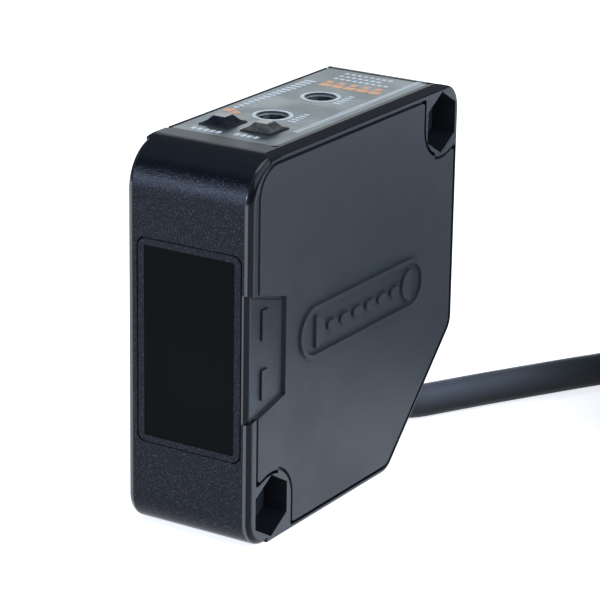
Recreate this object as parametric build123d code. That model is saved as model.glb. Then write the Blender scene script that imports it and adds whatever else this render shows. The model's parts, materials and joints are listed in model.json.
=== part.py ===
from build123d import *
import math
import os

# Compact rectangular photoelectric sensor with a built-in amplifier and a 2 m cable.
# Millimetres, +Z up. X is the width, Y the depth and Z the height. The sensing window looks along -Y.
# The origin is on the underside, halfway back and below the window's middle. The lid is on the right, +X.

# Case
WIDTH = 18.3
DEPTH = 50.0
HEIGHT = 50.0
SIDE = 9.0              # the right side, which is the lid's face
LEFT = SIDE - WIDTH
FRONT = -DEPTH / 2
REAR = DEPTH / 2
EDGE = 0.2              # rounding of the outer edges
NOSE_EDGE = 0.95        # the fuller rounding of the edges beside the window
NOSE_REAR = -20.6       # how far back that rounding reaches
RUN_OUT = 4.0           # the flat that carries it over into the top's right edge is this long
SLOPE_X = 7.25          # the top falls away from here to its right edge
SLOPE_DROP = 0.31
TOP_FRONT_R = 6.0
BOTTOM_FRONT_R = 4.0
TOP_REAR_R = 3.5
CUT = 8.8               # the cut-off rear bottom corner lies on Y - Z = CUT
CUT_R = 3.0
LEFT_WALL = 1.8

# Lid and its seat
LID_FRONT = 1.85        # from the case's outline to the joint line, on each side
LID_TOP = 1.0
LID_REAR = 0.55
LID_BOTTOM = 0.65
LID_CUT = 0.53
LID_CORNER_R = 4.1
LID_THICK = 1.4
LID_LIP = 0.6           # depth of the visible joint groove
GROOVE = 0.22           # half the groove's width
SEAT_FIT = 0.05
SEAL_THICK = 0.3
LEDGE = SIDE - LID_THICK - SEAL_THICK
CAVITY_INSET = 0.95
LID_SOFT_R = 0.45

# M4 nut pockets and bores, on one diagonal
NUT_AF = 7.2
NUT_DEPTH = 3.5
BORE_R = 2.2
LOW_NUT = (-19.8, 4.75)
HIGH_NUT = (20.7, 45.25)
LAND_SMALL = 4.35       # the joint line steps between these two radii round each pocket
LAND_LARGE = 4.75
LAND_STEP = 1.5

# Accessory recess at the front of the right side
TAB_DEPTH = 0.5
TAB_REAR = -17.1
TAB_LOW = (16.4, 18.9)      # lower edge, Z at the front and at the rear
TAB_HIGH = (34.1, 31.3)
TAB_SHELF = 2.3
RIB_HEIGHT = 0.3
RIB_Y = (-21.95, -20.5)
RIBS_Z = ((27.1, 30.95), (19.3, 23.2))

# Window
WINDOW_Z = (11.55, 38.4)    # joint line of the bezel
WINDOW_HALF = 7.65
WINDOW_R = 1.2
WINDOW_GAP = 0.12
BEZEL_RIM = 0.97
BEZEL_THICK = 1.0
GLASS_BACK = 0.1            # the filter lies this far behind the bezel's face
EYE_HALF = 5.6
EYE_Z = (13.6, 36.4)

# Label and what comes through it
LABEL_X = (-8.95, 6.6)
LABEL_Y = (-16.2, 21.4)
LABEL_RECESS = 0.3
LABEL_THICK = 0.26
LABEL_GAP = 0.08
LABEL_FAR_GAP = 0.28        # the wider gap on its left and at its rear
LABEL_NOTCH_R = 0.45
ADJUSTERS = {"sensitivity": (-1.6, -4.0), "mode": (-1.5, 7.3)}
INDICATORS = {"stability": (-4.65, -10.7), "operation": (1.35, -10.4)}
DIAL_RIM_R = 2.05
DIAL_R = 1.55
DIAL_BEVEL = 0.55
PYRAMID_BASE = 3.65
PYRAMID_TOP = 1.75
PYRAMID_HEIGHT = 1.0
PIPE_WIDTH = 3.3
RUN_GAP = 0.1               # running clearance of the adjusters, on the radius

# Inside levels
BOARD_THICK = 0.8
BOARD_X = LEFT + LEFT_WALL + BOARD_THICK
DECK_Z = (41.0, 42.0)
BLOCK_X = (-6.6, 6.1)
BLOCK_Y = (-22.1, -9.0)
CHANNELS = {"emitter": (25.7, 36.4), "receiver": (13.6, 24.3)}
LENS_HALF = 5.2
LENS_R = 11.0
LENS_THICK = 3.2

# Cable
CABLE_D = 4.6
CABLE_R = CABLE_D / 2
GLAND = (0.0, 17.3, 8.5)    # middle of the exit, on the cut corner
GLAND_R = 3.5
GLAND_PROUD = 0.7 * math.sqrt(2)
CLAMP_DEPTH = 7.5
CORE_R = 0.65
CORE_RING = 1.2
CORE_COLOURS = ("brown", "blue", "white", "black", "grey")
COIL_MID_R = 24.3
COIL_PITCH = 4.65
COIL_COLUMNS = 2
COIL_LAYERS = 6
COIL_CENTRE = (50.6, 56.6)
JOIN_ANGLE = 147.0          # where the lead runs into the coil, in degrees about its centre
OUTER_TURN_R = COIL_MID_R + COIL_PITCH * (COIL_COLUMNS - 1) / 2
TOP_TURN_Z = CABLE_R + COIL_PITCH * (COIL_LAYERS - 1)
COIL_TOP = TOP_TURN_Z + CABLE_R
TIE_ANGLE = 98.0
WIRE_FAN = 1.4
WIRE_REST = 0.05            # how far the stripped cores lie above the top turns
TIP_R = 0.4
TIP_LENGTH = 6.0


def slab(outline, x_low, x_high):
    """A YZ outline as a solid from x_low to x_high."""
    return extrude(Plane.YZ.offset(x_low) * outline, x_high - x_low)


def plate(outline, y_low, y_high):
    """An XZ outline as a solid from y_low to y_high."""
    return extrude(Plane.XZ.offset(-y_high) * outline, y_high - y_low)


def sheet(outline, z_low, z_high):
    """An XY outline as a solid from z_low to z_high."""
    return extrude(Plane.XY.offset(z_low) * outline, z_high - z_low)


def block(x, y, z):
    """A box from three ranges."""
    middle = Pos((x[0] + x[1]) / 2, (y[0] + y[1]) / 2, (z[0] + z[1]) / 2)
    return middle * Box(x[1] - x[0], y[1] - y[0], z[1] - z[0])


def post(x, y, radius, z_low, z_high):
    return sheet(Pos(x, y) * Circle(radius), z_low, z_high)


def frame_outline(half, z, radius):
    """A rounded rectangle about X = 0, between two heights."""
    return Pos(0, (z[0] + z[1]) / 2) * RectangleRounded(2 * half, z[1] - z[0], radius)


def case_outline(front=0.0, top=0.0, rear=0.0, bottom=0.0, cut=0.0, top_front_r=TOP_FRONT_R):
    """The case's side outline, each side moved in by its own amount."""
    y_front, y_rear = FRONT + front, REAR - rear
    z_low, z_high = bottom, HEIGHT - top
    line = CUT - cut * math.sqrt(2)
    corners = [
        (y_front, z_low),
        (z_low + line, z_low),
        (y_rear, y_rear - line),
        (y_rear, z_high),
        (y_front, z_high),
    ]
    radii = [BOTTOM_FRONT_R - bottom, CUT_R - bottom, CUT_R - rear, TOP_REAR_R - rear, top_front_r]
    return make_face(FilletPolyline(corners, radius=radii, close=True))


def nut_land(centre, turn, lead_r, foot_r, inset):
    """The part of the case's face round one nut pocket that the lid leaves free."""
    lead, foot, reach = lead_r + inset, foot_r + inset, 8.0
    lead_side = Pos(LAND_STEP - reach, 0) * Rectangle(2 * reach, 2 * reach)
    foot_side = Pos(LAND_STEP + reach, 0) * Rectangle(2 * reach, 2 * reach)
    land = (Circle(lead) & lead_side) + (Circle(foot) & foot_side)
    land += Pos(foot / 2, -reach / 2) * Rectangle(foot, reach)
    tongue = [(-0.8, lead), (-3.5, lead - 0.75), (-reach, lead - 2.0), (-reach, -reach), (0, -reach), (0, 0)]
    land += make_face(Polyline(tongue, close=True))
    return Pos(*centre) * Rot(0, 0, turn) * land


def tab_outline(inset):
    """The accessory recess, from beyond the front face to its rear edge."""
    beyond = FRONT - 2
    corners = [
        (beyond, TAB_LOW[0] - inset),
        (TAB_REAR + inset, TAB_LOW[1] - inset),
        (TAB_REAR + inset, TAB_HIGH[1] + inset),
        (beyond, TAB_HIGH[0] + inset),
    ]
    return make_face(Polyline(corners, close=True))


def joint_outline(inset, with_tab=True):
    """The line between lid and case, moved in by inset."""
    face = case_outline(
        LID_FRONT + inset, LID_TOP + inset, LID_REAR + inset, LID_BOTTOM + inset, LID_CUT + inset,
        LID_CORNER_R - inset,
    )
    face -= nut_land(LOW_NUT, 0, LAND_SMALL, LAND_LARGE, inset)
    face -= nut_land(HIGH_NUT, 180, LAND_LARGE, LAND_SMALL, inset)
    if with_tab:
        face -= tab_outline(inset)
    return face


def lid_outline(inset):
    """The joint line with its four outer corners softened: a negative inset gives the lid's seat."""
    face = joint_outline(inset)
    return fillet(corners_at_nuts(face), LID_SOFT_R)


def corners_at_nuts(face):
    """The four outer corners where the lid's edge turns in towards a nut pocket."""
    box = face.bounding_box()
    found = []
    for v in face.vertices():
        to_side = min(v.X - box.min.X, box.max.X - v.X, v.Y - box.min.Y, box.max.Y - v.Y)
        to_nut = min(math.dist((v.X, v.Y), LOW_NUT), math.dist((v.X, v.Y), HIGH_NUT))
        if to_side < 0.001 and to_nut < NUT_AF:
            found.append(v)
    return found


def nose_zone():
    return block((LEFT - 1, SIDE + 1), (FRONT - 1, NOSE_REAR), (-1, HEIGHT + 1))


def side_edges(solid):
    """The outline edges of a block's left and right faces, without those where the block was divided."""
    edges = solid.faces().filter_by(Axis.X).edges()
    return edges.filter_by(lambda edge: abs(edge.center().Y - NOSE_REAR) > 0.001)


def nose(right):
    """The front part of the case, with full roundings beside the window."""
    solid = slab(case_outline(), LEFT, right) & nose_zone()
    return fillet(side_edges(solid), NOSE_EDGE)


def main_block():
    """The case behind the nose: its top falls away to the right, and its edges are nearly sharp."""
    solid = slab(case_outline(), LEFT, SIDE) - nose_zone()
    above = HEIGHT + 1
    slope = [(SLOPE_X, HEIGHT), (SIDE, HEIGHT - SLOPE_DROP), (SIDE, above), (SLOPE_X, above)]
    solid -= plate(make_face(Polyline(slope, close=True)), FRONT, REAR)
    return fillet(side_edges(solid), EDGE) - nose_run_out()


def nose_run_out():
    """The flat that carries the nose's rounding over into the top's right edge."""
    middle = NOSE_EDGE * math.tan(math.pi / 8)
    drop = TOP_FRONT_R - math.sqrt(TOP_FRONT_R**2 - (FRONT + TOP_FRONT_R - NOSE_REAR) ** 2)
    top = HEIGHT - drop
    start = Vector(SIDE - middle, NOSE_REAR, top)
    across = Vector(SIDE, NOSE_REAR, top - middle) - start
    along = Vector(SIDE, NOSE_REAR + RUN_OUT, HEIGHT - SLOPE_DROP) - start
    normal = along.cross(across)
    if normal.Z < 0:
        normal = -normal
    return Plane(origin=start, z_dir=normal) * Pos(0, 0, 2) * Box(20, 20, 4)


def nut_pockets():
    """Both M4 bores with a hexagonal pocket at each end."""
    hexagon = RegularPolygon(NUT_AF / 2, 6, major_radius=False, rotation=30)
    cuts = Part()
    for y, z in (LOW_NUT, HIGH_NUT):
        cuts += slab(Pos(y, z) * Circle(BORE_R), LEFT - 1, SIDE + 1)
        cuts += slab(Pos(y, z) * hexagon, SIDE - NUT_DEPTH, SIDE + 1)
        cuts += slab(Pos(y, z) * hexagon, LEFT - 1, LEFT + NUT_DEPTH)
    return cuts


def main_case():
    recess = slab(tab_outline(0), 0, SIDE + 1)
    inner = SIDE - TAB_DEPTH
    behind = slab(case_outline(), LEFT, inner) - nose_zone()
    case = (nose(SIDE) + main_block() - recess) + ((nose(inner) + behind) & recess)
    for z in RIBS_Z:
        case += block((inner - 0.2, inner + RIB_HEIGHT), RIB_Y, z)
    shelf = inner - TAB_SHELF
    case -= slab(joint_outline(CAVITY_INSET, False), LEFT + LEFT_WALL, shelf)
    case -= slab(joint_outline(CAVITY_INSET), shelf, LEDGE)
    case -= slab(lid_outline(-GROOVE), LEDGE, SIDE + 1)
    case += dial_collars()
    case -= nut_pockets()
    case -= plate(frame_outline(WINDOW_HALF + WINDOW_GAP, WINDOW_Z, WINDOW_R), FRONT - 1, seal_back())
    case -= plate(frame_outline(EYE_HALF, EYE_Z, 0.5), FRONT, BLOCK_Y[0] + 1)
    case -= label_pocket()
    for x, y in ADJUSTERS.values():
        case -= dial_hole(x, y)
    for x, y in INDICATORS.values():
        opening = Pos(x, y) * Rectangle(PIPE_WIDTH + 0.1, PIPE_WIDTH + 0.1)
        case -= sheet(opening, HEIGHT - 3, HEIGHT)
    case -= exit_plane() * Cylinder(GLAND_R, 12)
    return case


def seal_back():
    return FRONT + BEZEL_THICK + SEAL_THICK


def label_pocket():
    """The label's recess, with a small round relief at each corner."""
    floor = HEIGHT - LABEL_RECESS
    pocket = block(LABEL_X, LABEL_Y, (floor, HEIGHT + 1))
    for x in LABEL_X:
        for y in LABEL_Y:
            pocket += post(x, y, LABEL_NOTCH_R, floor, HEIGHT + 1)
    return pocket


def dial_collars():
    """Tubes under the top wall that guide the two adjusters."""
    tubes = Part()
    top = HEIGHT - LID_TOP - CAVITY_INSET
    for x, y in ADJUSTERS.values():
        tubes += post(x, y, DIAL_R + 1.1, top - 2.4, top + 0.2)
    return tubes


def dial_hole(x, y):
    """A bevelled hole down through the top wall and the collar."""
    floor = HEIGHT - LABEL_RECESS
    bevel = Pos(x, y, floor - DIAL_BEVEL / 2) * Cone(DIAL_R, DIAL_RIM_R, DIAL_BEVEL)
    return bevel + post(x, y, DIAL_R, HEIGHT - 6, floor) + post(x, y, DIAL_RIM_R, floor, HEIGHT)


def side_cover():
    lip = SIDE - LID_LIP
    cover = slab(lid_outline(-GROOVE + SEAT_FIT), SIDE - LID_THICK, lip)
    cover += slab(lid_outline(GROOVE), lip, SIDE)
    return cover + emblem()


def emblem():
    """A raised beam symbol: a light source, the beam's dashes and a receiver, in a slim frame."""
    height, low = 0.45, SIDE - 0.1
    middle_y, middle_z, length, tall, line = 1.2, 25.0, 30.4, 7.0, 0.6
    frame = SlotOverall(length, tall) - SlotOverall(length - 2 * line, tall - 2 * line)
    lens_r, lens_y, dashes, pitch = 2.1, 11.7, 6, 3.1
    lens = Circle(lens_r) & Pos(lens_r / 2, 0) * Rectangle(lens_r, 2 * lens_r)
    marks = Pos(-lens_y, 0) * lens + Pos(lens_y, 0) * Rot(0, 0, 180) * lens
    for k in range(dashes):
        marks += Pos(pitch * (k - (dashes - 1) / 2), 0) * SlotOverall(2.2, 1.3)
    return slab(Pos(middle_y, middle_z) * (frame + marks), low, SIDE + height)


def cover_seal():
    ring = lid_outline(-GROOVE + 0.1) - joint_outline(CAVITY_INSET - 0.1)
    return slab(ring, LEDGE, LEDGE + SEAL_THICK)


def window_bezel():
    outer = frame_outline(WINDOW_HALF - WINDOW_GAP, [WINDOW_Z[0] + 0.12, WINDOW_Z[1] - 0.12], WINDOW_R - 0.1)
    ring = outer - glass_outline(0)
    return plate(ring, FRONT, FRONT + BEZEL_THICK)


def glass_outline(inset):
    low, high = WINDOW_Z[0] + BEZEL_RIM + inset, WINDOW_Z[1] - BEZEL_RIM - inset
    return frame_outline(WINDOW_HALF - BEZEL_RIM - inset, (low, high), 0.25)


def front_window():
    return plate(glass_outline(0.04), FRONT + GLASS_BACK, FRONT + BEZEL_THICK)


def window_seal():
    ring = frame_outline(WINDOW_HALF - 0.2, (WINDOW_Z[0] + 0.2, WINDOW_Z[1] - 0.2), WINDOW_R - 0.2)
    ring -= frame_outline(EYE_HALF, EYE_Z, 0.5)
    return plate(ring, FRONT + BEZEL_THICK, seal_back())


def optical_block():
    """Two light channels that narrow to the diodes, with a wall between them."""
    body = block(BLOCK_X, BLOCK_Y, (12.6, 37.4))
    front, back = BLOCK_Y
    seat_half, seat_back = LENS_HALF + 0.05, front + LENS_THICK
    for low, high in CHANNELS.values():
        middle = (low + high) / 2
        body -= block((-seat_half, seat_half), (front - 1, seat_back), (low, high))
        wide = plane_at(seat_back) * frame_outline(LENS_HALF - 0.5, (low + 0.6, high - 0.6), 0.4)
        narrow = plane_at(back - 1.5) * Pos(0, middle) * RectangleRounded(4.8, 4.8, 0.4)
        body -= loft([wide, narrow])
        body -= plate(Pos(0, middle) * Circle(2.15), back - 2, back + 1)
    return body


def plane_at(y):
    return Plane.XZ.offset(-y)


def lens(name):
    """A plano-convex lens cut to a rectangle, its curved side towards the diode."""
    low, high = CHANNELS[name]
    middle, front = (low + high) / 2, BLOCK_Y[0]
    ball = Pos(0, front + LENS_THICK - LENS_R, middle) * Sphere(LENS_R)
    return ball & block((-LENS_HALF, LENS_HALF), (front, front + LENS_THICK), (low + 0.05, high - 0.05))


def diode(name):
    """A 4 mm diode with a domed nose, a flange and two leads to the control board."""
    middle = sum(CHANNELS[name]) / 2
    flange_y, radius, half_lead = BLOCK_Y[1], 2.0, 0.25
    body = plate(Pos(0, middle) * Circle(radius), flange_y - 2.4, flange_y)
    body += Pos(0, flange_y - 2.4, middle) * Sphere(radius)
    body += plate(Pos(0, middle) * Circle(radius + 0.5), flange_y, flange_y + 1.0)
    for dz in (-1.27, 1.27):
        z = (middle + dz - half_lead, middle + dz + half_lead)
        body += block((-half_lead, half_lead), (flange_y + 1.0, flange_y + 2.6), z)
        body += block((BOARD_X, half_lead), (flange_y + 2.1, flange_y + 2.6), z)
    return body


def receiver_shield():
    """A folded tin can over the receiver's back, open to the front and to its leads."""
    middle = sum(CHANNELS["receiver"]) / 2
    low, high = BLOCK_Y[1] + 0.1, BLOCK_Y[1] + 3.4
    can = block((-3.6, 3.6), (low, high), (middle - 3.6, middle + 3.6))
    can -= block((-3.3, 3.3), (low - 1, high - 0.3), (middle - 3.3, middle + 3.3))
    return can - block((-4, 0), (low - 1, high - 0.3), (middle - 2.0, middle + 2.0))


def control_board():
    return slab(joint_outline(CAVITY_INSET + 0.35, False), BOARD_X - BOARD_THICK, BOARD_X)


def adjuster_board():
    return block((BOARD_X + 0.1, 5.9), (-16.0, 12.5), DECK_Z)


def board_pins():
    """Six right-angled pins from the control board up into the small board."""
    pins = Part()
    for k in range(6):
        y = -12.7 + 2.54 * k
        pins += block((BOARD_X, BOARD_X + 1.6), (y - 0.25, y + 0.25), (39.4, 39.9))
        pins += block((BOARD_X + 1.1, BOARD_X + 1.6), (y - 0.25, y + 0.25), (39.4, DECK_Z[0]))
    return pins


def turned_part(name):
    """The square base under an adjuster, with a round pocket for its wiper."""
    x, y = ADJUSTERS[name]
    body = block((x - 2.4, x + 2.4), (y - 2.4, y + 2.4), (DECK_Z[1], DECK_Z[1] + 2.2))
    body -= post(x, y, 1.7, DECK_Z[1] + 1.3, DECK_Z[1] + 3)
    for dy in (-1.8, 0, 1.8):
        body += block((x + 2.4, x + 3.1), (y + dy - 0.3, y + dy + 0.3), (DECK_Z[1], DECK_Z[1] + 0.4))
    return body


def wiper(name):
    """The turning disc in the base, slotted for the adjuster's blade."""
    x, y = ADJUSTERS[name]
    disc = post(x, y, 1.65, DECK_Z[1] + 1.4, DECK_Z[1] + 2.1)
    slot = block((x - 0.9, x + 0.9), (y - 0.33, y + 0.33), (DECK_Z[1] + 1.3, DECK_Z[1] + 3))
    return disc - slot


def rotor(name):
    """A slotted adjuster: head, O-ring neck, foot and the blade that turns the wiper."""
    x, y = ADJUSTERS[name]
    r = DIAL_R - RUN_GAP
    top = HEIGHT - 1.15
    body = post(x, y, r, top - 1.3, top)
    body += post(x, y, 0.9, top - 2.1, top - 1.3)
    body += post(x, y, r, top - 2.9, top - 2.1)
    body += block((x - 0.85, x + 0.85), (y - 0.3, y + 0.3), (DECK_Z[1] + 1.5, top - 2.9))
    body -= block((x - r - 1, x + r + 1), (y - 0.3, y + 0.3), (top - 0.6, top + 1))
    if name == "mode":
        body -= block((x - 0.3, x + 0.3), (y, y + r + 1), (top - 0.6, top + 1))
    return body


def rotor_seal(name):
    x, y = ADJUSTERS[name]
    return Pos(x, y, HEIGHT - 1.15 - 1.7) * Torus(1.25, 0.28)


def indicator_lens(name):
    """A light pipe with a truncated four-sided pyramid on top."""
    x, y = INDICATORS[name]
    base = Plane.XY.offset(HEIGHT) * Pos(x, y) * Rectangle(PYRAMID_BASE, PYRAMID_BASE)
    tip = Plane.XY.offset(HEIGHT + PYRAMID_HEIGHT) * Pos(x, y) * Rectangle(PYRAMID_TOP, PYRAMID_TOP)
    pipe = sheet(Pos(x, y) * Rectangle(PIPE_WIDTH, PIPE_WIDTH), HEIGHT - 4.5, HEIGHT)
    return loft([base, tip]) + pipe


def indicator_chip(name):
    x, y = INDICATORS[name]
    chip = block((x - 0.8, x + 0.8), (y - 0.4, y + 0.4), (DECK_Z[1], DECK_Z[1] + 0.5))
    return chip + post(x, y, 0.35, DECK_Z[1] + 0.5, DECK_Z[1] + 0.75)


def top_label():
    x = (LABEL_X[0] + LABEL_FAR_GAP, LABEL_X[1] - LABEL_GAP)
    y = (LABEL_Y[0] + LABEL_GAP, LABEL_Y[1] - LABEL_FAR_GAP)
    floor = HEIGHT - LABEL_RECESS
    panel = block(x, y, (floor, floor + LABEL_THICK))
    panel = fillet(panel.edges().filter_by(Axis.Z), 0.4)
    for cx, cy in ADJUSTERS.values():
        panel -= post(cx, cy, DIAL_RIM_R, floor - 1, HEIGHT + 1)
    for cx, cy in INDICATORS.values():
        panel -= sheet(Pos(cx, cy) * Rectangle(PIPE_WIDTH + 0.1, PIPE_WIDTH + 0.1), floor - 1, HEIGHT + 1)
    return panel


def transformer_core():
    """An E-shaped ferrite pair: two yokes, two outer legs and the middle leg."""
    x = (BOARD_X + 1.2, 3.0)
    core = block(x, (-6.0, 4.0), (3.0, 5.0)) + block(x, (-6.0, 4.0), (13.0, 15.0))
    for y in ((-6.0, -4.4), (-2.2, 0.2), (2.4, 4.0)):
        core += block(x, y, (5.0, 13.0))
    return core


def transformer_winding():
    x = (BOARD_X, 4.2)
    coil = block(x, (-4.3, 2.3), (5.1, 12.9))
    return coil - block((BOARD_X + 1.1, 3.1), (-2.3, 0.3), (5.0, 13.0))


def bulk_capacitor():
    """An electrolytic can on its side with a rolled groove near its rubber end."""
    can = plate(Pos(-3.0, 32.0) * Circle(3.15), 0.0, 11.0)
    return can - plate(Pos(-3.0, 32.0) * (Circle(4) - Circle(2.95)), 9.2, 9.7)


def rectifier():
    body = block((BOARD_X, BOARD_X + 2.2), (-5.0, -0.4), (25.0, 29.6))
    for y in (-5.6, -0.4):
        for z in (25.6, 28.2):
            body += block((BOARD_X, BOARD_X + 0.3), (y, y + 0.6), (z, z + 0.8))
    return body


def surge_absorber():
    """A disc varistor standing on the board on two leads."""
    disc = plate(Pos(-2.2, 20.0) * Circle(3.4), -1.0, 2.0)
    for dz in (-1.5, 1.5):
        disc += block((BOARD_X, -2.2), (0.2, 0.8), (20.0 + dz - 0.3, 20.0 + dz + 0.3))
    return disc


def output_relay():
    body = block((BOARD_X + 0.3, 3.2), (11.5, 22.0), (22.0, 37.0))
    body = fillet(body.edges().filter_by(Axis.X), 0.5)
    for y, z in ((12.8, 23.5), (20.7, 23.5), (12.8, 29.5), (20.7, 29.5), (20.7, 35.5)):
        body += block((BOARD_X, BOARD_X + 0.3), (y - 0.25, y + 0.25), (z - 0.4, z + 0.4))
    return body


def control_chip():
    chip = block((BOARD_X + 0.1, BOARD_X + 1.1), (2.0, 8.0), (25.0, 28.2 - 0.2))
    for k in range(4):
        y = 2.9 + 1.27 * k
        chip += block((BOARD_X, BOARD_X + 0.2), (y - 0.2, y + 0.2), (24.3, 28.7))
    return chip


def exit_plane():
    """A plane at the cable's exit whose normal points out of the cut corner."""
    return Plane(origin=GLAND, x_dir=(1, 0, 0), z_dir=(0, 1, -1))


def cable_bushing():
    """A rubber bushing: flange inside, barrel through the wall and a short taper outside."""
    wall = 1.62
    outside = Pos(0, 0, GLAND_PROUD / 2) * Cone(GLAND_R - 0.1, CABLE_R + 0.4, GLAND_PROUD)
    barrel = Pos(0, 0, -wall / 2) * Cylinder(GLAND_R - 0.05, wall)
    flange = Pos(0, 0, -wall - 0.6) * Cylinder(GLAND_R + 1.0, 1.2)
    return exit_plane() * (outside + barrel + flange - Cylinder(CABLE_R, 12))


def inner_sheath():
    """The jacket's end inside the case, from the bushing's mouth to the clamp."""
    length = CLAMP_DEPTH + GLAND_PROUD
    return exit_plane() * Pos(0, 0, GLAND_PROUD - length / 2) * Cylinder(CABLE_R, length)


def cable_clamp():
    """A clip that grips the jacket inside the bushing."""
    ring = Pos(0, 0, -5.0) * (Box(9.4, 7.0, 2.6) - Cylinder(CABLE_R, 4))
    return exit_plane() * ring


def core_ring(k):
    """Where core k lies in the jacket, as offsets across it."""
    angle = math.radians(90 + 72 * k)
    return CORE_RING * math.cos(angle), CORE_RING * math.sin(angle)


def inner_wire(k):
    """A core from the clamp to its solder joint on the control board."""
    u, v = core_ring(k)
    # cores further from the board reach further in, and all fan out sideways, so that none cross
    depth = 13.5 + 2.0 * u
    route = [
        (u, v, -CLAMP_DEPTH),
        (u, v, -CLAMP_DEPTH - 2.0),
        (u * 0.6 - 1.4, 2.0 * v, -depth),
        (BOARD_X, 2.0 * v, -depth),
    ]
    return tube([exit_plane().from_local_coords(Vector(*p)) for p in route], CORE_R)


def bend_radii(points):
    """For each corner, the largest arc that its two runs allow."""
    radii = []
    for before, here, after in zip(points, points[1:], points[2:]):
        run_in, run_out = here - before, after - here
        half_turn = math.radians(run_in.get_angle(run_out)) / 2
        radii.append(0.45 * min(run_in.length, run_out.length) / math.tan(half_turn))
    return radii


def tube(points, radius, name=None):
    """A round solid along straight runs joined by tangent arcs."""
    points = [Vector(*p) for p in points]
    radii = bend_radii(points)
    path = FilletPolyline(points, radius=radii)
    if name:
        print(name, "length", round(path.length, 1), "bend radii", [round(r, 1) for r in radii])
    start = Plane(origin=points[0], z_dir=points[1] - points[0])
    return sweep(start * Circle(radius), path=path)


def around_coil(angle, radius, z):
    """A point at an angle in degrees and a radius about the coil's axis."""
    a = math.radians(angle)
    return (COIL_CENTRE[0] + radius * math.cos(a), COIL_CENTRE[1] + radius * math.sin(a), z)


# The lead's route: out of the bushing, down to the surface and away to the coil.
LEAD_ROUTE = [
    (0.0, 18.0, 7.8),
    (0.0, 20.1, 5.7),
    (0.35, 22.55, 4.05),
    (1.1, 25.2, 2.9),
    (2.25, 27.9, 2.3),
    (4.6, 32.3, 2.3),
    (9.0, 40.2, 2.3),
    (17.6, 54.8, 2.3),
    around_coil(JOIN_ANGLE, OUTER_TURN_R, CABLE_R),
]

# The free end: it climbs out of the last turn and lies on the coil, as angle, radius and height about the coil.
TAIL_TURNS = [
    (190.0, OUTER_TURN_R, TOP_TURN_Z),
    (169.0, 28.1, 27.8),
    (147.0, 26.9, 30.15),
    (125.0, 25.3, COIL_TOP + CABLE_R),
    (105.0, COIL_MID_R, COIL_TOP + CABLE_R),
    (85.0, COIL_MID_R, COIL_TOP + CABLE_R),
    (66.0, COIL_MID_R, COIL_TOP + CABLE_R),
]
# Each stripped core after its straight start: angle, share of the fan, share of the height in the jacket.
WIRE_STRAIGHT = 4.0
WIRE_SPREAD = [(46.0, 0.8, 0.8), (30.0, 1.0, 0.0), (6.0, 1.0, 0.0), (-18.0, 1.0, 0.0), (-40.0, 1.0, 0.0)]
WIRE_RANKS = (0, -2, -1, 1, 2)


def cable_lead():
    return tube(LEAD_ROUTE, CABLE_R, "cable_lead")


def bundle_outline():
    """The section of the wound turns, standing on the surface."""
    width = COIL_PITCH * (COIL_COLUMNS - 1) + CABLE_D
    return Pos(COIL_MID_R, COIL_TOP / 2) * RectangleRounded(width, COIL_TOP, CABLE_R - 0.05)


def cable_coil():
    """The outer shape of the wound cable."""
    return Pos(*COIL_CENTRE, 0) * revolve(Plane.XZ * bundle_outline(), Axis.Z)


def coil_tie():
    """A flat strap over the bundle of turns and the free end that lies on it."""
    band, thick, reach = 4.0, 0.5, 60.0
    tail = Pos(COIL_MID_R, COIL_TOP + CABLE_R) * Circle(CABLE_R)
    inside = make_hull((bundle_outline() + tail).edges())
    ring = (offset(inside, thick) - inside) & Pos(0, reach / 2) * Rectangle(2 * reach, reach)
    strap = extrude(Plane.XZ * ring, band / 2, both=True)
    return Pos(*COIL_CENTRE, 0) * Rot(0, 0, TIE_ANGLE) * strap


def cable_tail():
    return tube([around_coil(*turn) for turn in TAIL_TURNS], CABLE_R, "cable_tail")


def end_wire_route(k):
    """A stripped core: out of the jacket and side by side with the others on the top turns."""
    u, v = core_ring(k)
    before, end = (Vector(*around_coil(*turn)) for turn in TAIL_TURNS[-2:])
    along = end - before
    jacket_end = Plane(origin=end, x_dir=along.cross(Vector(0, 0, -1)), z_dir=along)
    points = [jacket_end.from_local_coords(Vector(u, v, out)) for out in (0, WIRE_STRAIGHT)]
    rest = COIL_TOP + WIRE_REST + CORE_R
    for angle, share, up in WIRE_SPREAD:
        across = u * (1 - share) + WIRE_RANKS[k] * WIRE_FAN * share
        points.append(around_coil(angle, COIL_MID_R + across, rest + up * (end.Z + v - rest)))
    return points


def end_wire(k):
    return tube(end_wire_route(k), CORE_R)


def wire_tips():
    """The tinned strands at the end of each core."""
    tips = []
    for k in range(len(CORE_COLOURS)):
        before, end = (Vector(*p) for p in end_wire_route(k)[-2:])
        along = Plane(origin=end, z_dir=end - before)
        tips.append(along * Pos(0, 0, TIP_LENGTH / 2) * Cylinder(TIP_R, TIP_LENGTH))
    return Compound(children=[tip.solid() for tip in tips])


PIECES = {
    "main_case": main_case,
    "side_cover": side_cover,
    "cover_seal": cover_seal,
    "window_bezel": window_bezel,
    "front_window": front_window,
    "window_seal": window_seal,
    "optical_block": optical_block,
    "receiver_shield": receiver_shield,
    "control_board": control_board,
    "adjuster_board": adjuster_board,
    "board_pins": board_pins,
    "top_label": top_label,
    "transformer_core": transformer_core,
    "transformer_winding": transformer_winding,
    "bulk_capacitor": bulk_capacitor,
    "rectifier": rectifier,
    "surge_absorber": surge_absorber,
    "output_relay": output_relay,
    "control_chip": control_chip,
    "cable_bushing": cable_bushing,
    "inner_sheath": inner_sheath,
    "cable_clamp": cable_clamp,
    "cable_lead": cable_lead,
    "cable_coil": cable_coil,
    "coil_tie": coil_tie,
    "cable_tail": cable_tail,
    "wire_tips": wire_tips,
}


def write(name, shape):
    export_step(shape, f"parts/{name}.step")


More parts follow.
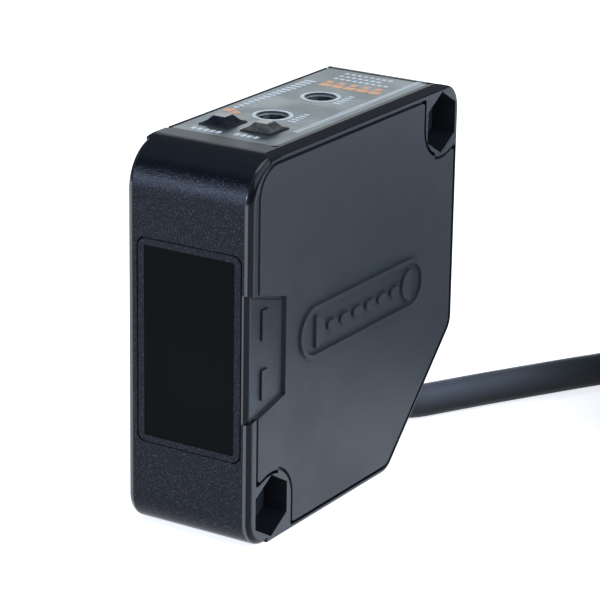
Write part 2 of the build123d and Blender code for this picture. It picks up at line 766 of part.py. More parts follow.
def main():
    os.makedirs("parts", exist_ok=True)
    for name, make in PIECES.items():
        write(name, make())
    for name in CHANNELS:
        write(f"{name}_lens", lens(name))
        write(f"{name}_diode", diode(name))
    for name in ADJUSTERS:
        write(f"{name}_base", turned_part(name))
        write(f"{name}_wiper", wiper(name))
        write(f"{name}_rotor", rotor(name))
        write(f"{name}_seal", rotor_seal(name))
    for name in INDICATORS:
        write(f"{name}_lens", indicator_lens(name))
        write(f"{name}_led", indicator_chip(name))
    for k, colour in enumerate(CORE_COLOURS):
        write(f"inner_wire_{colour}", inner_wire(k))
        write(f"end_wire_{colour}", end_wire(k))


main()
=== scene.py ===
"""The looks of a compact rectangular photoelectric sensor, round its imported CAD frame. Metres."""

import json
import math

import bmesh
import bpy
from mathutils import Matrix, Vector


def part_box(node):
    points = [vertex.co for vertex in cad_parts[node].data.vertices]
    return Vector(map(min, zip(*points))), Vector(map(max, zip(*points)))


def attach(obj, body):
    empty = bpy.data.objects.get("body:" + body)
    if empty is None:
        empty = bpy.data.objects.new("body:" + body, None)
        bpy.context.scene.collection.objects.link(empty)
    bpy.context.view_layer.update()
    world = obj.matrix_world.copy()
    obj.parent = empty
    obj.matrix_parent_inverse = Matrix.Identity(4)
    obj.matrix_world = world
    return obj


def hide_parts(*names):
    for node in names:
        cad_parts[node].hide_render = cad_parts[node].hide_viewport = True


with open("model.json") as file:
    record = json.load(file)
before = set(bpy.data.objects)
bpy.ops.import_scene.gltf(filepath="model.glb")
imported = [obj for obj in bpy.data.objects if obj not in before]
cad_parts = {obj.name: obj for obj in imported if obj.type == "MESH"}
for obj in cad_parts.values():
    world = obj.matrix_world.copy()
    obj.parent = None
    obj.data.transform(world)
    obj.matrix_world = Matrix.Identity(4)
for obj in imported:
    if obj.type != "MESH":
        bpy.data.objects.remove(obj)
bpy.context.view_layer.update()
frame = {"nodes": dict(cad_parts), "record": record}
cad_nodes = frame["nodes"]
MM = 0.001

CASE_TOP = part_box("main_case")[1].z
LABEL_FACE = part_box("top_label")[1].z
ROTORS = ("sensitivity_rotor", "mode_rotor")
INDICATORS = ("stability_lens", "operation_lens")


def middle_of(node):
    low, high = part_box(node)
    return (low + high) / 2


# ---------------------------------------------------------------- Camera

CAMERA_AZIMUTH = math.radians(31.99)
CAMERA_ELEVATION = math.radians(18.65)
CAMERA_ROLL = math.radians(0.88)
CAMERA_DISTANCE = 368.7 * MM
CAMERA_RIGHT = 0.46 * MM        # how far the line of sight passes the middle of the case
CAMERA_UP = -0.42 * MM
LENS_MM = 170.65
SENSOR_MM = 36.0
CLIP_RANGE = (0.01, 20.0)


def add_camera():
    """A long lens, a little above the case, that looks at its window, lid and label."""
    data = bpy.data.cameras.new("camera")
    data.lens = LENS_MM
    data.sensor_width = SENSOR_MM
    data.clip_start, data.clip_end = CLIP_RANGE
    camera = bpy.data.objects.new("camera", data)
    bpy.context.scene.collection.objects.link(camera)
    flat = math.cos(CAMERA_ELEVATION)
    back = Vector((
        math.sin(CAMERA_AZIMUTH) * flat,
        -math.cos(CAMERA_AZIMUTH) * flat,
        math.sin(CAMERA_ELEVATION),
    ))
    right = Vector((math.cos(CAMERA_AZIMUTH), math.sin(CAMERA_AZIMUTH), 0))
    up = back.cross(right)
    turned_right = right * math.cos(CAMERA_ROLL) + up * math.sin(CAMERA_ROLL)
    turned_up = up * math.cos(CAMERA_ROLL) - right * math.sin(CAMERA_ROLL)
    target = middle_of("main_case")
    place = target + back * CAMERA_DISTANCE + right * CAMERA_RIGHT + up * CAMERA_UP
    turn = Matrix((turned_right, turned_up, back)).transposed().to_4x4()
    camera.matrix_world = Matrix.Translation(place) @ turn
    bpy.context.scene.camera = camera


add_camera()


# ---------------------------------------------------------------- Materials

class Finish:
    """One procedural material. Its textures use the object's own coordinates, in metres."""

    def __init__(self, name, colour, roughness, metallic=0.0, gloss=0.5):
        self.material = bpy.data.materials.new(name)
        self.material.use_nodes = True
        self.tree = self.material.node_tree
        self.shader = self.tree.nodes["Principled BSDF"]
        self.shader.inputs["Base Color"].default_value = (*colour, 1)
        self.shader.inputs["Roughness"].default_value = roughness
        self.shader.inputs["Metallic"].default_value = metallic
        self.shader.inputs["Specular IOR Level"].default_value = gloss
        self.place = self.add("ShaderNodeTexCoord").outputs["Object"]
        self.normal = None

    def add(self, kind, **inputs):
        node = self.tree.nodes.new(kind)
        for name, value in inputs.items():
            self.feed(node.inputs[name.replace("_", " ")], value)
        return node

    def feed(self, socket, value):
        if isinstance(value, bpy.types.NodeSocket):
            self.tree.links.new(value, socket)
        else:
            socket.default_value = value

    def stretched(self, scale):
        """The coordinates, scaled on each axis."""
        node = self.add("ShaderNodeVectorMath", Vector=self.place)
        node.operation = "MULTIPLY"
        node.inputs[1].default_value = scale
        return node.outputs["Vector"]

    def noise(self, grain, detail=2.0, roughness=0.5, place=None):
        """Soft noise with lumps of about one grain across, in metres."""
        node = self.add(
            "ShaderNodeTexNoise",
            Vector=place or self.place,
            Scale=1 / grain,
            Detail=detail,
            Roughness=roughness,
        )
        return node.outputs["Fac"]

    def cells(self, size):
        """The distance from the nearest of scattered points about this far apart, in metres."""
        node = self.add("ShaderNodeTexVoronoi", Vector=self.place, Scale=1 / size)
        return node.outputs["Distance"]

    def along(self, axis):
        """The place along X, Y or Z."""
        return self.add("ShaderNodeSeparateXYZ", Vector=self.place).outputs[axis]

    def facing(self):
        """The surface's normal, split into its X, Y and Z."""
        normal = self.add("ShaderNodeNewGeometry").outputs["Normal"]
        return self.add("ShaderNodeSeparateXYZ", Vector=normal).outputs

    def ramp(self, source, low, high, to_low=0.0, to_high=1.0):
        """source from low to high, made to run smoothly from to_low to to_high."""
        node = self.add(
            "ShaderNodeMapRange",
            Value=source,
            From_Min=low,
            From_Max=high,
            To_Min=to_low,
            To_Max=to_high,
        )
        node.interpolation_type = "SMOOTHSTEP"
        return node.outputs["Result"]

    def math(self, operation, one, other):
        node = self.add("ShaderNodeMath")
        node.operation = operation
        self.feed(node.inputs[0], one)
        self.feed(node.inputs[1], other)
        return node.outputs["Value"]

    def mix(self, share, one, other):
        """A colour between two colours."""
        node = self.add("ShaderNodeMix")
        node.data_type = "RGBA"
        self.feed(node.inputs[0], share)
        self.feed(node.inputs[6], one if not isinstance(one, tuple) else (*one, 1))
        self.feed(node.inputs[7], other if not isinstance(other, tuple) else (*other, 1))
        return node.outputs[2]

    def colour(self, share, one, other):
        self.feed(self.shader.inputs["Base Color"], self.mix(share, one, other))

    def roughness(self, source):
        self.feed(self.shader.inputs["Roughness"], source)

    def gloss(self, source):
        self.feed(self.shader.inputs["Specular IOR Level"], source)

    def bump(self, height, depth):
        """Bumps of a depth in metres. A second call adds to the first."""
        node = self.add("ShaderNodeBump", Height=height, Distance=depth)
        if self.normal:
            self.feed(node.inputs["Normal"], self.normal)
        self.normal = node.outputs["Normal"]
        self.feed(self.shader.inputs["Normal"], self.normal)


def tinted(colour, factor):
    return tuple(min(1.0, c * factor) for c in colour)


def moulded(name, colour, roughness, grain, depth, gloss=0.5, spread=0.25):
    """Moulded plastic: a fine grain, and a slow change of gloss where the mould was worn."""
    finish = Finish(name, colour, roughness, gloss=gloss)
    fine = finish.noise(grain, detail=3.0, roughness=0.6)
    slow = finish.noise(grain * 45, detail=2.0)
    finish.colour(finish.ramp(fine, 0.3, 0.7), tinted(colour, 1 - spread), tinted(colour, 1 + spread))
    finish.roughness(finish.ramp(slow, 0.3, 0.7, roughness - 0.05, roughness + 0.05))
    finish.bump(fine, depth)
    return finish


def metal(name, colour, roughness, grain, depth):
    """Bare or plated metal with fine scratches and a cloudy finish."""
    finish = Finish(name, colour, roughness, metallic=1.0)
    cloud = finish.noise(grain * 12, detail=4.0)
    drawn = finish.noise(grain, detail=2.0, place=finish.stretched((1, 1, 0.12)))
    finish.colour(finish.ramp(cloud, 0.3, 0.7), tinted(colour, 0.82), tinted(colour, 1.08))
    finish.roughness(finish.ramp(cloud, 0.25, 0.75, roughness - 0.06, roughness + 0.1))
    finish.bump(drawn, depth)
    return finish


CASE_DARK = (0.0036, 0.0048, 0.0068)        # between the grains of the front
CASE_PAINTED_GLINT = (0.033, 0.039, 0.057)          # painted glints: a paler colour on the tips of those grains, in place of highlights
CASE_PLAIN = (0.0100, 0.0115, 0.0145)       # behind the front
CASE_SIDE_PAINTED_LIGHT = (0.026, 0.032, 0.040)           # painted light: the broad sides get a paler tone than the same plastic elsewhere
CASE_BEVEL = (0.17, 0.19, 0.20)             # on the bevels of the adjusters' holes
FRONT_ENDS = (-24.0 * MM, -23.0 * MM)       # the front's grain fades out between these
CASE_GLOSS = 0.12
SIDE_GLOSS = 0.26
POLISHED_ROUGHNESS = 0.13
SATIN_ROUGHNESS = 0.34
PIT_SIZE, PIT_DEPTH = 0.24 * MM, 0.036 * MM
CRUMB_SIZE, CRUMB_DEPTH = 0.26 * MM, 0.009 * MM
BEVEL_OUTER = (2.10 * MM, 2.16 * MM)        # the bevels' colour ends between these radii
BEVEL_FOOT = (49.50 * MM, 49.58 * MM)       # and begins between these heights


def case_zones(finish):
    """Masks for the kinds of surface on the case, told apart by the way they face.

    They run from 0 to 1, but "satin" is a roughness, higher on the flat of the top than anywhere else.
    """
    facing = finish.facing()
    x, y, z = (finish.math("ABSOLUTE", facing[axis], 0.0) for axis in "XYZ")
    upright_edge = finish.ramp(finish.math("MULTIPLY", x, y), 0.05, 0.12)
    curve = finish.ramp(finish.math("MULTIPLY", y, z), 0.43, 0.495)
    top = finish.ramp(facing["Z"], 0.60, 0.80)
    polished = finish.math("MAXIMUM", upright_edge, finish.math("MAXIMUM", curve, top))
    return {
        "textured": finish.math("SUBTRACT", 1.0, polished),
        "bright_edge": finish.math("MULTIPLY", upright_edge, finish.ramp(x, 0.38, 0.52, 1.0, 0.0)),
        "side": finish.ramp(x, 0.92, 0.98),
        "satin": finish.ramp(facing["Z"], 0.988, 0.998, POLISHED_ROUGHNESS, SATIN_ROUGHNESS),
        "front": finish.ramp(finish.along("Y"), *FRONT_ENDS, 1.0, 0.1),
    }


def dial_bevels(finish):
    """1 on the paler bevels of the two adjusters' holes, 0 elsewhere."""
    flat = finish.stretched((1, 1, 0))
    nearest = None
    for node in ROTORS:
        middle = middle_of(node)
        away = finish.add("ShaderNodeVectorMath")
        away.operation = "DISTANCE"
        finish.feed(away.inputs[0], flat)
        away.inputs[1].default_value = (middle.x, middle.y, 0)
        reach = away.outputs["Value"]
        nearest = finish.math("MINIMUM", nearest, reach) if nearest else reach
    inside = finish.ramp(nearest, *BEVEL_OUTER, 1.0, 0.0)
    return finish.math("MULTIPLY", inside, finish.ramp(finish.along("Z"), *BEVEL_FOOT))


def case_plastic():
    """Black plastic: spark-eroded on its flat sides, satin on top and polished on its roundings, with
    painted glints on the front's grain and a painted lighter tone on its broad sides.
    """
    finish = Finish("case_plastic", CASE_DARK, 0.32)
    zones = case_zones(finish)
    textured = zones["textured"]
    pits = finish.noise(PIT_SIZE, detail=3.0, roughness=0.70)
    crumbs = finish.cells(CRUMB_SIZE)
    grainy = finish.math("MULTIPLY", textured, zones["front"])
    # Painted glints: the tips of the front's grain take a paler colour in place of highlights.
    painted_glint_share = finish.math("MULTIPLY", finish.ramp(pits, 0.52, 0.66), grainy)
    ground = finish.mix(zones["front"], CASE_PLAIN, CASE_DARK)
    # Painted light on the broad sides: they take a paler colour than the rest of the case.
    plastic = finish.mix(zones["side"], finish.mix(painted_glint_share, ground, CASE_PAINTED_GLINT), CASE_SIDE_PAINTED_LIGHT)
    finish.colour(dial_bevels(finish), plastic, CASE_BEVEL)
    worn = finish.noise(9 * MM, detail=2.0)
    rough = finish.math("MULTIPLY", finish.ramp(worn, 0.3, 0.7, 0.24, 0.30), textured)
    finish.roughness(finish.math("MAXIMUM", rough, zones["satin"]))
    side_gloss = finish.math("MULTIPLY", zones["side"], SIDE_GLOSS)
    shine = finish.math("MAXIMUM", zones["bright_edge"], side_gloss)
    finish.gloss(finish.math("MAXIMUM", shine, CASE_GLOSS))
    finish.bump(finish.math("MULTIPLY", pits, textured), PIT_DEPTH)
    finish.bump(finish.math("MULTIPLY", crumbs, textured), CRUMB_DEPTH)
    return finish


def cover_plastic():
    """The lid: the same black plastic from a mould with a finer, flatter grain."""
    colour = (0.024, 0.030, 0.037)
    return moulded("cover_plastic", colour, 0.50, 0.14 * MM, 0.006 * MM, gloss=0.35, spread=0.14)


def window_filter():
    """An infrared filter: near-black plastic with a moulded gloss and specks of dust."""
    colour = (0.0020, 0.0019, 0.0024)
    finish = Finish("window_filter", colour, 0.07, gloss=0.04)
    flow = finish.noise(14 * MM, detail=1.0)
    dust = finish.cells(2.3 * MM)
    finish.colour(finish.ramp(flow, 0.3, 0.7), tinted(colour, 0.85), tinted(colour, 1.15))
    finish.roughness(finish.ramp(dust, 0.0, 0.03, 0.24, 0.07))
    finish.bump(flow, 0.02 * MM)
    return finish


def label_plate():
    """A dark satin film with a metallic print base, finely grained along its length."""
    colour = (0.108, 0.130, 0.137)
    finish = Finish("label_plate", colour, 0.33, metallic=0.70)
    grain = finish.noise(0.10 * MM, detail=2.0, place=finish.stretched((1, 0.25, 1)))
    cloud = finish.noise(6 * MM, detail=3.0)
    finish.colour(finish.ramp(grain, 0.3, 0.7), tinted(colour, 0.90), tinted(colour, 1.10))
    finish.roughness(finish.ramp(cloud, 0.3, 0.7, 0.29, 0.38))
    finish.bump(grain, 0.002 * MM)
    return finish


def ink(name, colour):
    """Screen-printed ink, a little uneven and matt."""
    finish = Finish(name, colour, 0.5, gloss=0.4)
    patchy = finish.noise(0.25 * MM, detail=3.0)
    finish.colour(finish.ramp(patchy, 0.25, 0.6), tinted(colour, 0.72), colour)
    finish.bump(patchy, 0.003 * MM)
    return finish


def indicator_lens(name, colour, paler):
    """A smoky moulded light pipe, unlit."""
    finish = Finish(name, colour, 0.18, gloss=0.38)
    cloud = finish.noise(0.9 * MM, detail=2.0)
    finish.colour(finish.ramp(cloud, 0.3, 0.7), colour, paler)
    finish.bump(cloud, 0.01 * MM)
    return finish


def clear_lens():
    """Clear moulded acrylic with a faint flow pattern."""
    finish = Finish("lens_clear", (0.93, 0.96, 0.97), 0.05)
    finish.shader.inputs["Transmission Weight"].default_value = 0.9
    finish.shader.inputs["IOR"].default_value = 1.49
    flow = finish.noise(3 * MM, detail=1.0)
    finish.colour(finish.ramp(flow, 0.3, 0.7), (0.90, 0.94, 0.95), (0.96, 0.98, 0.99))
    finish.bump(flow, 0.01 * MM)
    return finish


def circuit_board():
    """Green solder mask over copper tracks and a woven glass core."""
    mask, track = (0.010, 0.075, 0.035), (0.022, 0.125, 0.055)
    finish = Finish("board", mask, 0.32)
    weave = finish.add("ShaderNodeTexBrick", Vector=finish.place, Scale=1 / (2.4 * MM))
    weave.inputs["Mortar Size"].default_value = 0.06
    tracks = finish.ramp(finish.noise(2.2 * MM, detail=0.0), 0.47, 0.49)
    finish.colour(tracks, mask, track)
    finish.bump(tracks, 0.03 * MM)
    finish.bump(weave.outputs["Fac"], 0.006 * MM)
    return finish


def copper_winding():
    """Enamelled copper wire, wound in close turns along Z."""
    finish = Finish("winding", (0.52, 0.17, 0.06), 0.28, metallic=0.85)
    turns = finish.add("ShaderNodeTexWave", Vector=finish.place, Scale=1 / (1.6 * MM))
    turns.bands_direction = "Z"
    finish.colour(turns.outputs["Fac"], (0.24, 0.07, 0.025), (0.62, 0.22, 0.08))
    finish.bump(turns.outputs["Fac"], 0.08 * MM)
    return finish


def cable_jacket():
    """Dark grey PVC sheath: matt and faintly ribbed by the extruder, with painted light paler along its
    upper side and painted shade darker beneath it.
    """
    colour = (0.044, 0.050, 0.061)
    under, upper = tinted(colour, 0.15), tinted(colour, 2.0)
    finish = Finish("cable_jacket", colour, 0.42, gloss=0.1)
    fine = finish.noise(0.16 * MM, detail=3.0, roughness=0.6)
    flow = finish.noise(5 * MM, detail=2.0)
    # Painted light and shade: darker underneath and paler on top, by the way the surface faces.
    painted_top_light = finish.mix(finish.ramp(finish.facing()["Z"], -0.5, 0.9), under, upper)
    finish.colour(finish.ramp(flow, 0.3, 0.7, 0.0, 0.12), painted_top_light, colour)
    finish.roughness(finish.ramp(flow, 0.3, 0.7, 0.42, 0.52))
    finish.bump(fine, 0.008 * MM)
    finish.bump(flow, 0.05 * MM)
    return finish


FINISHES = {
    "case_plastic": case_plastic(),
    "cover_plastic": cover_plastic(),
    "window_filter": window_filter(),
    "label_plate": label_plate(),
    "lens_green": indicator_lens("lens_green", (0.006, 0.007, 0.012), (0.012, 0.014, 0.021)),
    "lens_orange": indicator_lens("lens_orange", (0.040, 0.042, 0.036), (0.085, 0.086, 0.078)),
    "lens_clear": clear_lens(),
    "board": circuit_board(),
    "winding": copper_winding(),
    "cable_jacket": cable_jacket(),
    "tinned_metal": metal("tinned_metal", (0.72, 0.73, 0.72), 0.30, 0.08 * MM, 0.002 * MM),
    "capacitor_can": metal("capacitor_can", (0.62, 0.64, 0.68), 0.24, 0.05 * MM, 0.001 * MM),
    "ferrite": moulded("ferrite", (0.035, 0.034, 0.036), 0.62, 0.18 * MM, 0.02 * MM, spread=0.3),
    "seal_rubber": moulded("seal_rubber", (0.010, 0.010, 0.011), 0.70, 0.12 * MM, 0.006 * MM, gloss=0.3),
    "optical_black": moulded("optical_black", (0.007, 0.007, 0.008), 0.60, 0.15 * MM, 0.008 * MM),
    "chip_plastic": moulded("chip_plastic", (0.014, 0.014, 0.016), 0.55, 0.10 * MM, 0.006 * MM),
    "varistor": moulded("varistor", (0.030, 0.130, 0.300), 0.42, 0.40 * MM, 0.02 * MM, spread=0.15),
    "relay_case": moulded("relay_case", (0.70, 0.66, 0.55), 0.38, 0.20 * MM, 0.004 * MM, spread=0.06),
    "diode_red": moulded("diode_red", (0.38, 0.02, 0.025), 0.12, 0.60 * MM, 0.004 * MM, spread=0.15),
    "diode_dark": moulded("diode_dark", (0.016, 0.010, 0.018), 0.10, 0.60 * MM, 0.004 * MM, spread=0.2),
    "trimmer_plastic": moulded("trimmer_plastic", (0.075, 0.080, 0.085), 0.45, 0.16 * MM, 0.006 * MM),
    "wiper_plastic": moulded("wiper_plastic", (0.66, 0.63, 0.54), 0.42, 0.16 * MM, 0.004 * MM, spread=0.06),
    "adjuster_plastic": moulded("adjuster_plastic", (0.012, 0.013, 0.015), 0.40, 0.14 * MM, 0.006 * MM),
    "tie_plastic": moulded("tie_plastic", (0.012, 0.013, 0.014), 0.36, 0.30 * MM, 0.006 * MM),
    "wire_brown": moulded("wire_brown", (0.085, 0.032, 0.014), 0.40, 0.30 * MM, 0.006 * MM, spread=0.08),
    "wire_blue": moulded("wire_blue", (0.014, 0.060, 0.290), 0.40, 0.30 * MM, 0.006 * MM, spread=0.08),
    "wire_white": moulded("wire_white", (0.74, 0.74, 0.71), 0.40, 0.30 * MM, 0.006 * MM, spread=0.04),
    "wire_black": moulded("wire_black", (0.012, 0.012, 0.013), 0.40, 0.30 * MM, 0.006 * MM, spread=0.15),
    "wire_grey": moulded("wire_grey", (0.200, 0.205, 0.210), 0.40, 0.30 * MM, 0.006 * MM, spread=0.06),
}
INK_WHITE = ink("ink_white", (0.60, 0.64, 0.65))
INK_ORANGE = ink("ink_orange", (0.70, 0.37, 0.20))


def paint_cad_nodes():
    """Gives each CAD node the finish that the record's material slot names."""
    for part in frame["record"]["subparts"]:
        finish = FINISHES[part["material_slot"]]
        materials = cad_nodes[part["node"]].data.materials
        materials.clear()
        materials.append(finish.material)


paint_cad_nodes()


LENS_EDGE = 0.09 * MM


def soften_indicator_edges():
    """The indicators' moulded edges are slightly rounded, and catch the light."""
    for node in INDICATORS:
        bevel = cad_nodes[node].modifiers.new("soft_edges", "BEVEL")
        bevel.width = LENS_EDGE
        bevel.segments = 2
        bevel.limit_method = "ANGLE"
        bevel.angle_limit = math.radians(20)


soften_indicator_edges()


def add_piece(name, data, finish):
    """A new object on the case, with its material."""
    piece = bpy.data.objects.new(name, data)
    bpy.context.scene.collection.objects.link(piece)
    data.materials.append(finish.material)
    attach(piece, "root")
    return piece


# ---------------------------------------------------------------- Cable

CABLE_D = 4.6 * MM
COIL_CENTRE = Vector((50.6, 56.6, 0.0)) * MM
COIL_PITCH = 4.65 * MM
COIL_COLUMNS = 2
COIL_LAYERS = 6
COIL_TURNS = COIL_COLUMNS * COIL_LAYERS
OUTER_TURN_R = 26.625 * MM
JOIN_ANGLE = 147.0              # where the lead runs into the coil, in degrees about its centre
POINTS_PER_TURN = 24
SHIFT_START = 45.0              # degrees before the end of a turn, where it moves to the next place
SHIFT_END = 4.0
RISE_BULGE = 1.4 * MM           # how far a turn swings out while it climbs to the next layer
LEAD_POINTS = [                 # from the exit down to the floor and along it, in millimetres
    (0.0, 18.0, 7.8),
    (0.0, 20.1, 5.7),
    (0.35, 22.55, 4.05),
    (1.1, 25.2, 2.9),
    (2.25, 27.9, 2.3),
    (4.6, 32.3, 2.3),
    (9.0, 40.2, 2.3),
    (17.6, 54.8, 2.3),
]
TAIL_TURNS = [                  # angle in degrees, radius and height in millimetres, about the coil
    (125.0, 25.3, 30.15),
    (105.0, 24.3, 30.15),
    (85.0, 24.3, 30.15),
    (66.0, 24.3, 30.15),
]


def around_coil(degrees, radius, height):
    """A point by its angle, radius and height about the coil's axis."""
    angle = math.radians(degrees)
    return COIL_CENTRE + Vector((radius * math.cos(angle), radius * math.sin(angle), height))


def turn_place(turn):
    """Column and layer of a turn. Odd layers run back outward, and the free end starts the next one."""
    layer, column = divmod(turn, COIL_COLUMNS)
    return (COIL_COLUMNS - 1 - column if layer % 2 else column), layer


def coil_points():
    """Wound from the outside in, layer on layer; each turn moves over just before it ends."""
    points = []
    for step in range(COIL_TURNS * POINTS_PER_TURN + 1):
        turn, part = divmod(step, POINTS_PER_TURN)
        left = 360.0 * (1 - part / POINTS_PER_TURN)
        share = min(1.0, max(0.0, (SHIFT_START - left) / (SHIFT_START - SHIFT_END)))
        column, layer = turn_place(turn)
        next_column, next_layer = turn_place(turn + 1)
        radius = OUTER_TURN_R - COIL_PITCH * (column + (next_column - column) * share)
        if next_layer != layer:
            outward = 1 if column == 0 else -1
            radius += outward * RISE_BULGE * math.sin(math.pi * share)
        height = CABLE_D / 2 + COIL_PITCH * (layer + (next_layer - layer) * share)
        points.append(around_coil(JOIN_ANGLE - 360.0 * step / POINTS_PER_TURN, radius, height))
    return points


def cable_points():
    lead = [Vector(p) * MM for p in LEAD_POINTS]
    tail = [around_coil(angle, radius * MM, height * MM) for angle, radius, height in TAIL_TURNS]
    return lead + coil_points() + tail


def add_cable():
    data = bpy.data.curves.new("cable", "CURVE")
    data.dimensions = "3D"
    data.bevel_depth = CABLE_D / 2
    data.bevel_resolution = 7
    data.use_fill_caps = True
    data.resolution_u = 4
    spline = data.splines.new("NURBS")
    points = cable_points()
    spline.points.add(len(points) - 1)
    for place, point in zip(points, spline.points):
        point.co = (*place, 1)
    spline.order_u = 3
    spline.use_endpoint_u = True
    cable = add_piece("cable", data, FINISHES["cable_jacket"])
    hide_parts("cable_lead", "cable_coil", "cable_tail")
    loose = ["cable_bushing", "coil_tie", "wire_tips"]
    loose += [name for name in cad_nodes if name.startswith("end_wire_")]


add_cable()


# ---------------------------------------------------------------- Print on the label

INK_DEPTHS = (-0.010 * MM, 0.018 * MM)      # bottom and top of the ink, from the label's face
SKIRT_DEPTHS = (-0.030 * MM, 0.110 * MM)
SKIRT_WIDTH = 0.38 * MM
DIAL_RING = (2.18 * MM, 2.62 * MM)          # inner and outer radius of the ring round each adjuster


class Flat:
    """Thin flat shapes on the label. Outlines and bars are laid out in millimetres, rings in metres."""

    def __init__(self, name, finish, slot, depths):
        self.name = name
        self.finish = finish
        self.slot = slot
        self.mesh = bmesh.new()
        self.heights = [LABEL_FACE + depth for depth in depths]

    def loops(self, outline):
        """The outline's points at both heights, the lower ones first."""
        return [[self.mesh.verts.new((x, y, height)) for x, y in outline] for height in self.heights]

    def wall(self, low, high):
        count = len(low)
        for k in range(count):
            after = (k + 1) % count
            self.mesh.faces.new((low[k], low[after], high[after], high[k]))

    def shape(self, outline):
        """A closed outline, counter-clockwise."""
        low, high = self.loops([(x * MM, y * MM) for x, y in outline])
        self.mesh.faces.new(reversed(low))
        self.mesh.faces.new(high)
        self.wall(low, high)

    def bar(self, x, y):
        """A rectangle from its two limits on each axis."""
        self.shape([(x[0], y[0]), (x[1], y[0]), (x[1], y[1]), (x[0], y[1])])

    def row(self, first, y, count, pitch, width):
        """Bars side by side, from left to right."""
        for k in range(count):
            x = first + pitch * k
            self.bar((x, x + width), y)

    def column(self, x, first, count, pitch, thickness, growth=0.0):
        """Bars one behind another, each longer than the last by the growth."""
        for k in range(count):
            y = first + pitch * k
            self.bar((x[0], x[1] + growth * k), (y, y + thickness))

    def ring(self, x, y, inner, outer, count=48, start=0.0):
        """A ring with this many sides; a square frame has four, and starts at 45 degrees."""
        turns = [math.radians(start + 360.0 * k / count) for k in range(count)]
        inside = [(x + inner * math.cos(turn), y + inner * math.sin(turn)) for turn in turns]
        outside = [(x + outer * math.cos(turn), y + outer * math.sin(turn)) for turn in turns]
        in_low, in_high = self.loops(inside)
        out_low, out_high = self.loops(outside)
        self.wall(out_low, out_high)
        self.wall(in_high, in_low)
        for k in range(count):
            after = (k + 1) % count
            self.mesh.faces.new((in_high[k], out_high[k], out_high[after], in_high[after]))
            self.mesh.faces.new((in_low[after], out_low[after], out_low[k], in_low[k]))

    def finished(self):
        data = bpy.data.meshes.new(self.name)
        self.mesh.to_mesh(data)
        self.mesh.free()
        return add_piece(self.name, data, self.finish)


def white_print():
    """Generic marks in white: nothing on the label can be read as text."""
    marks = Flat("print_white", INK_WHITE, "label_plate", INK_DEPTHS)
    for node in ROTORS:
        middle = middle_of(node)
        marks.ring(middle.x, middle.y, *DIAL_RING)
    # A range scale along the left edge, its bars growing to the rear.
    marks.column((-7.85, -7.1), first=-3.7, count=16, pitch=1.12, thickness=0.66, growth=0.07)
    # A row of blocks in front of each indicator.
    marks.row(-6.6, (-15.2, -14.2), count=5, pitch=0.92, width=0.6)
    marks.row(-0.5, (-14.7, -13.7), count=4, pitch=0.92, width=0.6)
    # Ticks to the right of each adjuster, shorter to the rear.
    for first in (-5.5, 5.4):
        marks.column((1.45, 2.7), first, count=5, pitch=0.95, thickness=0.5, growth=-0.12)
    # A fine ladder along the right edge.
    marks.column((4.75, 5.6), first=-9.2, count=48, pitch=0.64, thickness=0.36)
    # Three rows of small blocks at the rear.
    for line, count in enumerate((9, 7, 8)):
        y = 16.3 + 1.45 * line
        marks.row(-5.2, (y, y + 0.7), count, pitch=0.95, width=0.6)
    marks.finished()


def orange_print():
    """A tag, a pointer and two rows of blocks in orange."""
    marks = Flat("print_orange", INK_ORANGE, "label_plate", INK_DEPTHS)
    marks.shape([(-8.3, -5.6), (-6.9, -5.8), (-6.9, -4.0), (-8.1, -4.4)])
    marks.shape([(-6.6, -6.6), (-5.2, -5.6), (-6.6, -4.6)])
    marks.row(-5.1, (12.3, 13.7), count=5, pitch=1.86, width=1.6)
    marks.row(-5.1, (14.0, 15.2), count=5, pitch=1.86, width=0.95)
    marks.finished()


def indicator_skirts():
    """The thin dark rim that each indicator's window stands in."""
    rims = Flat("indicator_skirts", FINISHES["seal_rubber"], "seal_rubber", SKIRT_DEPTHS)
    corner = math.sqrt(2)
    for node in INDICATORS:
        middle = middle_of(node)
        low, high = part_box(node)
        half = (high.x - low.x) / 2
        rims.ring(middle.x, middle.y, half * corner, (half + SKIRT_WIDTH) * corner, count=4, start=45.0)
    rims.finished()


white_print()
orange_print()
indicator_skirts()


# ---------------------------------------------------------------- Floor and light

FLOOR_SIZE = 6.0
FLOOR_COLOUR = (0.80, 0.81, 0.82)
FLOOR_GLOW = (0.98, 1.0, 1.04, 1)
FLOOR_GLOW_STRENGTH = 0.80
SKY_COLOUR = (0.90, 0.97, 1.10, 1)
SKY_STRENGTH = 0.12
LIGHT_DISTANCE = 1.2


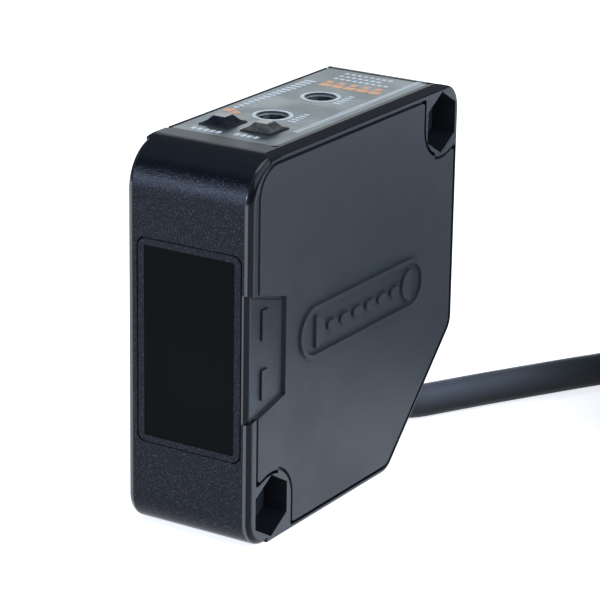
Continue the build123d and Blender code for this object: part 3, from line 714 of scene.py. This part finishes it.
def add_floor():
    """A white floor that glows, so that it goes over into a white background."""
    data = bpy.data.meshes.new("floor")
    half = FLOOR_SIZE / 2
    corners = [(-half, -half, 0), (half, -half, 0), (half, half, 0), (-half, half, 0)]
    data.from_pydata(corners, [], [(0, 1, 2, 3)])
    floor = bpy.data.objects.new("floor", data)
    bpy.context.scene.collection.objects.link(floor)
    finish = Finish("floor_paint", FLOOR_COLOUR, 0.8, gloss=0.0)
    finish.shader.inputs["Emission Color"].default_value = FLOOR_GLOW
    finish.shader.inputs["Emission Strength"].default_value = FLOOR_GLOW_STRENGTH
    data.materials.append(finish.material)


def add_panel(name, azimuth, elevation, half_width, half_height, brightness, tint):
    """A soft rectangular light, placed by the angles that it covers as seen from the case, in degrees."""
    data = bpy.data.lights.new(name, "AREA")
    data.shape = "RECTANGLE"
    data.size = 2 * LIGHT_DISTANCE * math.tan(math.radians(half_width))
    data.size_y = 2 * LIGHT_DISTANCE * math.tan(math.radians(half_height))
    data.energy = brightness * math.pi * data.size * data.size_y
    data.color = tint
    panel = bpy.data.objects.new(name, data)
    bpy.context.scene.collection.objects.link(panel)
    turn, rise = math.radians(azimuth), math.radians(elevation)
    flat = math.cos(rise)
    towards = Vector((math.sin(turn) * flat, -math.cos(turn) * flat, math.sin(rise)))
    panel.location = towards * LIGHT_DISTANCE + Vector((0, 0, CASE_TOP / 2))
    panel.rotation_mode = "QUATERNION"
    panel.rotation_quaternion = towards.to_track_quat("Z", "Y")
    panel.visible_camera = False


def add_sky():
    world = bpy.data.worlds.new("studio")
    bpy.context.scene.world = world
    world.use_nodes = True
    background = world.node_tree.nodes["Background"]
    background.inputs["Color"].default_value = SKY_COLOUR
    background.inputs["Strength"].default_value = SKY_STRENGTH


add_floor()
add_sky()
# Behind the case, mirrored in the label.
add_panel("back_panel", 219.0, 9.5, 21.0, 9.5, brightness=2.0, tint=(0.93, 1.02, 1.05))
# In front on the left, mirrored as a bright band in the front's upper rounding.
add_panel("left_strip", 330.0, 14.0, 10.0, 8.0, brightness=17.0, tint=(0.80, 0.95, 1.35))
# On the right, for the lid.
add_panel("right_panel", 95.0, 46.0, 32.0, 22.0, brightness=3.6, tint=(0.90, 1.00, 1.14))
add_panel("overhead", 212.0, 82.0, 20.0, 20.0, brightness=1.0, tint=(0.95, 1.00, 1.05))
bpy.context.scene.view_settings.view_transform = "Standard"
